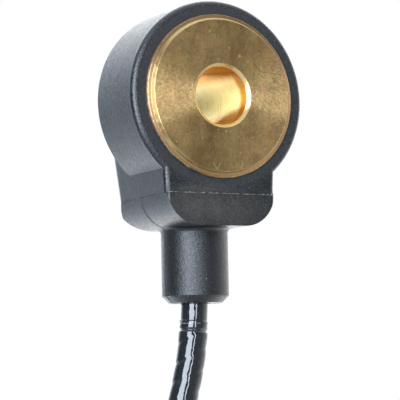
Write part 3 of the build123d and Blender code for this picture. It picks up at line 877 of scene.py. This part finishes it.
# At scale 1 the wave pattern repeats every 0.314 m. Blotches and rings are far wider than they are high.
wave_period = 0.314
blotch_over_height = 300
ring_over_height = 40


def metal(name, bright, dull, roughness, blotch, turned_pitch=0.0):
    """Metal finish with cloudy tarnish and, if it is turned, fine rings about the bore."""
    low_roughness, high_roughness = roughness
    finish = new_finish(name, bright, low_roughness, metallic=1.0)
    share = patchy(finish, size=blotch, low=0.35, high=0.75, detail=5.0, roughness=0.65)
    feed(finish, "Base Color", blended(finish, share, bright, dull))
    feed(finish, "Roughness", patchy(
        finish, size=blotch / 4, low=0.3, high=0.7, to_low=low_roughness, to_high=high_roughness, detail=3.0
    ))
    heights = [(grain(finish, size=blotch / 8, detail=3.0), blotch / blotch_over_height)]
    if turned_pitch:
        rings = node(finish, "ShaderNodeTexWave", {
            "Vector": place_on(finish), "Scale": wave_period / turned_pitch, "Distortion": 0.5,
            "Detail": 1.0,
        }, wave_type="RINGS", rings_direction="Y").outputs["Fac"]
        heights.append((rings, turned_pitch / ring_over_height))
    relief(finish, heights)
    return finish


dress(["front_contact", "rear_contact"], metal(
    "contact_sheet", bright=(0.80, 0.62, 0.30), dull=(0.55, 0.40, 0.19), roughness=(0.18, 0.32),
    blotch=0.002,
))
dress(["seismic_mass"], metal(
    "mass_steel", bright=(0.55, 0.55, 0.54), dull=(0.36, 0.35, 0.33), roughness=(0.25, 0.40),
    blotch=0.003, turned_pitch=0.00018,
))
dress(["disc_spring"], metal(
    "spring_steel", bright=(0.36, 0.38, 0.42), dull=(0.22, 0.21, 0.26), roughness=(0.22, 0.38),
    blotch=0.0025,
))
dress(["clamp_nut"], metal(
    "nut_steel", bright=(0.60, 0.58, 0.53), dull=(0.48, 0.44, 0.34), roughness=(0.25, 0.42),
    blotch=0.002, turned_pitch=0.00025,
))

ceramic = (0.62, 0.58, 0.46)
ceramic_pore = (0.34, 0.31, 0.24)
silvering = (0.80, 0.79, 0.76)
silver_depth = 0.00004
ceramic_relief = 0.000015
piezo_low, piezo_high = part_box("piezo_ring")
piezo_middle = (piezo_low[1] + piezo_high[1]) / 2
piezo_half = (piezo_high[1] - piezo_low[1]) / 2
piezo_finish = new_finish("silvered_ceramic", ceramic, roughness=0.6)
from_middle = away_from(piezo_finish, coordinates(piezo_finish)["Y"], piezo_middle)
silvered = between(piezo_finish, from_middle, piezo_half - silver_depth, piezo_half)
porous = blended(
    piezo_finish, specks(piezo_finish, size=0.0003, share=0.4, spread=0.25), ceramic, ceramic_pore
)
feed(piezo_finish, "Base Color", blended(piezo_finish, silvered, porous, silvering))
feed(piezo_finish, "Metallic", silvered)
feed(piezo_finish, "Roughness", graded(piezo_finish, silvered, 0.65, 0.35))
relief(piezo_finish, [(grain(piezo_finish, size=0.0003, detail=3.0), ceramic_relief)])
dress(["piezo_ring"], piezo_finish)

# Terminals
# Under the disc the contacts' tabs are joined to the two cores by stamped crimps that sit in a nylon
# carrier, and a plated steel ferrule holds the sheath in the gland.
carrier_colour = (0.50, 0.47, 0.40)
carrier_shade = (0.40, 0.36, 0.29)
carrier_relief = 0.00001
carrier_finish = new_finish(
    "natural_nylon", carrier_colour, roughness=0.45, Subsurface_Weight=0.1, Subsurface_Scale=0.0005
)
feed(carrier_finish, "Base Color", blended(
    carrier_finish, grain(carrier_finish, size=0.003, detail=4.0), carrier_shade, carrier_colour
))
feed(carrier_finish, "Roughness", patchy(
    carrier_finish, size=0.0006, low=0.3, high=0.7, to_low=0.38, to_high=0.55
))
relief(carrier_finish, [(grain(carrier_finish, size=0.0003), carrier_relief)])
dress(["terminal_carrier"], carrier_finish)
dress(["signal_crimp", "ground_crimp"], metal(
    "splice_brass", bright=(0.78, 0.60, 0.30), dull=(0.52, 0.38, 0.18), roughness=(0.22, 0.38),
    blotch=0.0012,
))
dress(["jacket_ferrule"], metal(
    "ferrule_steel", bright=(0.66, 0.66, 0.65), dull=(0.45, 0.45, 0.44), roughness=(0.22, 0.36),
    blotch=0.0015,
))

drawing_line_height = 0.000008


def insulation(name, colour, shade):
    """Smooth core insulation with faint drawing lines along the core."""
    finish = new_finish(name, colour, roughness=0.3)
    feed(finish, "Base Color", blended(
        finish, grain(finish, size=0.0012, detail=3.0, stretch=(1, 1, 0.2)), shade, colour
    ))
    feed(finish, "Roughness", patchy(finish, size=0.0005, low=0.3, high=0.7, to_low=0.24, to_high=0.38))
    relief(finish, [(grain(finish, size=0.0002, stretch=(1, 1, 0.1)), drawing_line_height)])
    return finish


dress(["signal_core", "plug_signal_core"], insulation(
    "signal_insulation", colour=(0.50, 0.07, 0.05), shade=(0.36, 0.04, 0.03)
))
dress(["ground_core", "plug_ground_core"], insulation(
    "ground_insulation", colour=(0.75, 0.74, 0.70), shade=(0.58, 0.57, 0.53)
))

# Plug and tie
# Sealed two-way plug: a nylon body with a keyed pocket round two tin-plated blades, a silicone seal pressed
# onto the lead and a ribbed cap snapped on behind it. A ratchet tie of black nylon holds the turns together.
plug_edge_round = 0.00015
tie_edge_round = 0.00008
mould_shade = 0.7
mould_salt_share = 0.5
mould_wave_height = 0.00003
mould_grain_height = 0.00002


def moulded(name, colour, pale):
    """Black or dark grey nylon with the fine grain of a sparked tool."""
    finish = new_finish(name, colour, roughness=0.4)
    shaded = blended(
        finish, grain(finish, size=0.005, detail=4.0), colour, tuple(part * mould_shade for part in colour)
    )
    salty = patchy(finish, size=0.0003, low=0.40, high=0.72, detail=4.0, roughness=0.7)
    pale_share = product(finish, salty, mould_salt_share)
    feed(finish, "Base Color", blended(finish, pale_share, shaded, pale))
    feed(finish, "Roughness", patchy(
        finish, size=0.0006, low=0.3, high=0.7, to_low=0.34, to_high=0.50, detail=3.0
    ))
    relief(finish, [
        (grain(finish, size=0.004), mould_wave_height),
        (grain(finish, size=0.00025), mould_grain_height),
    ])
    return finish


plug_nylon = moulded("plug_nylon", colour=(0.022, 0.024, 0.027), pale=(0.080, 0.084, 0.090))
cap_nylon = moulded("cap_nylon", colour=(0.040, 0.043, 0.047), pale=(0.110, 0.115, 0.122))
tie_nylon = moulded("tie_nylon", colour=(0.016, 0.016, 0.018), pale=(0.050, 0.050, 0.052))
plug_body = softened(
    "plug_body", source="plug_housing", edge_round=plug_edge_round, finish=plug_nylon
)
plug_back = softened(
    "plug_back", source="plug_cap", edge_round=plug_edge_round, finish=cap_nylon
)
ratchet_tie = softened(
    "ratchet_tie", source="coil_tie", edge_round=tie_edge_round, finish=tie_nylon
)

silicone = (0.42, 0.13, 0.06)
silicone_bloom = (0.50, 0.24, 0.16)
silicone_relief = 0.000012
silicone_finish = new_finish(
    "silicone", silicone, roughness=0.55, Subsurface_Weight=0.15, Subsurface_Scale=0.001
)
feed(silicone_finish, "Base Color", blended(
    silicone_finish, patchy(silicone_finish, size=0.002, low=0.45, high=0.85, detail=5.0), silicone,
    silicone_bloom,
))
feed(silicone_finish, "Roughness", patchy(
    silicone_finish, size=0.0004, low=0.3, high=0.7, to_low=0.45, to_high=0.65
))
relief(silicone_finish, [(grain(silicone_finish, size=0.0003), silicone_relief)])
dress(["plug_seal"], silicone_finish)
dress(["plug_pin_signal", "plug_pin_ground"], metal(
    "blade_tin", bright=(0.78, 0.77, 0.74), dull=(0.60, 0.59, 0.56), roughness=(0.18, 0.32),
    blotch=0.0015,
))

# Floor
# Pale matt floor below the plug. It glows a little to the camera alone, so that it fades into the white
# surroundings, and it doesn't show in the gloss of the nylon and the sheath.
floor_z = -0.155
floor_half = 0.6
floor_grey = (0.8, 0.8, 0.8)
floor_glow_grey = (0.45, 0.45, 0.45, 1)
floor_finish = new_finish("pale_floor", floor_grey, roughness=0.9)
floor_nodes = floor_finish.node_tree
floor_rays = node(floor_finish, "ShaderNodeLightPath", {})
floor_glow = node(floor_finish, "ShaderNodeEmission", {"Color": floor_glow_grey})
floor_shader = floor_nodes.nodes["Principled BSDF"].outputs["BSDF"]
floor_seen = node(floor_finish, "ShaderNodeAddShader", {0: floor_shader, 1: floor_glow.outputs[0]})
floor_mix = node(floor_finish, "ShaderNodeMixShader", {
    0: floor_rays.outputs["Is Camera Ray"], 1: floor_shader, 2: floor_seen.outputs[0]
})
floor_nodes.links.new(floor_mix.outputs[0], floor_nodes.nodes["Material Output"].inputs["Surface"])
floor_corners = [(x * floor_half, y * floor_half, floor_z) for x, y in ((-1, -1), (1, -1), (1, 1), (-1, 1))]
floor_mesh = bpy.data.meshes.new("floor")
floor_mesh.from_pydata(floor_corners, [], [(0, 1, 2, 3)])
floor = bpy.data.objects.new("floor", floor_mesh)
scene.collection.objects.link(floor)
floor.data.materials.append(floor_finish)
floor.visible_glossy = False

# Light
# A tall soft box to the left of the camera and a narrow one beside it, white walls behind and to the right,
# and a dark gap to the left and in front, as the reflections in the gland and the lead show.
daylight = (0.88, 0.98, 1.12)
room_light = (0.98, 1.0, 1.02)
right_wall_start = 0
brightest_wall = 2.5
wall_levels = [
    (-180, 2.3), (-158, 1.30), (-150, 0.82), (-140, 0.30), (-128, 0.10), (-75, 0.12), (15, 0.25),
    (42, 0.35), (65, 1.0), (100, 1.9), (180, 2.3),
]
back_wall_bearing = (math.radians(120), math.radians(145))
back_wall_gain = (0.1, 0.42)
back_wall_low = (-0.05, -0.40)
back_wall_high = (0.08, 0.45)
ceiling_height = (0.34, 0.80)
ceiling_level = 1.4
table_bearing = math.radians(-50)
table_half_width = (math.radians(40), math.radians(70))
table_level = 1.1
table_depth = (-0.22, -0.50)
diffuse_light = (0.30, 0.30, 0.30)
white = (1.0, 1.0, 1.0)

world = bpy.data.worlds.new("studio")
scene.world = world
world.use_nodes = True
world.node_tree.nodes.clear()
seen_way = node(world, "ShaderNodeTexCoord", {}).outputs["Generated"]
way = node(world, "ShaderNodeSeparateXYZ", {0: seen_way}).outputs
bearing = calculated(world, "ARCTAN2", way["X"], product(world, way["Y"], -1.0))
walls = node(world, "ShaderNodeValToRGB", {"Fac": between(world, bearing, -math.pi, math.pi)})
for bearing_degrees, wall_level in wall_levels[1:-1]:
    walls.color_ramp.elements.new((bearing_degrees + 180) / 360)
for stop, (bearing_degrees, wall_level) in zip(walls.color_ramp.elements, wall_levels):
    stop.position = (bearing_degrees + 180) / 360
    tint = room_light if bearing_degrees > right_wall_start else daylight
    stop.color = (*(part * wall_level / brightest_wall for part in tint), 1)

# The back wall is lighter toward the floor and the ceiling than at the sensor's height
behind = between(world, away_from(world, bearing, 0.0), *back_wall_bearing, *back_wall_gain)
low_and_high = calculated(
    world, "ADD", between(world, way["Z"], *back_wall_low), between(world, way["Z"], *back_wall_high)
)
wall_gain = calculated(world, "ADD", 1.0, product(world, behind, low_and_high))
wall_light = node(world, "ShaderNodeVectorMath", {
    0: walls.outputs["Color"], "Scale": product(world, wall_gain, brightest_wall)
}, operation="SCALE").outputs[0]
ceiling = between(world, way["Z"], *ceiling_height, to_high=ceiling_level)
over_table = between(
    world, away_from(world, bearing, table_bearing), *table_half_width, to_low=table_level, to_high=0.0
)
table = product(world, over_table, between(world, way["Z"], *table_depth))
ceiling_and_table = node(world, "ShaderNodeVectorMath", {
    0: daylight, "Scale": largest(world, ceiling, table)
}, operation="SCALE").outputs[0]
surround = node(
    world, "ShaderNodeVectorMath", {0: wall_light, 1: ceiling_and_table}, operation="MAXIMUM"
).outputs[0]

# Gloss sees the walls. Matt surfaces get one plain level, and the camera sees white.
rays = node(world, "ShaderNodeLightPath", {}).outputs
lit = blended(world, rays["Is Glossy Ray"], diffuse_light, surround)
seen_plain = largest(world, rays["Is Camera Ray"], rays["Is Transmission Ray"])
background = node(world, "ShaderNodeBackground", {"Color": blended(world, seen_plain, lit, white)})
node(world, "ShaderNodeOutputWorld", {"Surface": background.outputs[0]})

box_distance = 0.5
box_radiance = 10.5
for name, box_bearing, box_width, box_low, box_high in (
    ("soft_box", 51.5, 39.0, -19.0, 34.0),
    ("strip_box", 14.0, 8.0, -15.0, 20.0),
):
    lamp = bpy.data.lights.new(name, "AREA")
    lamp.shape = "RECTANGLE"
    lamp.size = 2 * box_distance * math.tan(math.radians(box_width / 2))
    lamp.size_y = 2 * box_distance * math.tan(math.radians((box_high - box_low) / 2))
    lamp.energy = box_radiance * math.pi * lamp.size * lamp.size_y
    lamp.color = daylight
    lamp_object = bpy.data.objects.new(name, lamp)
    scene.collection.objects.link(lamp_object)
    side = math.radians(box_bearing)
    up = math.radians((box_low + box_high) / 2)
    lamp_way = Vector((-math.sin(side) * math.cos(up), -math.cos(side) * math.cos(up), math.sin(up)))
    lamp_object.location = lamp_way * box_distance
    lamp_object.rotation_euler = lamp_way.to_track_quat("Z", "Y").to_euler()
    lamp_object.visible_camera = False

scene.view_settings.view_transform = "Standard"
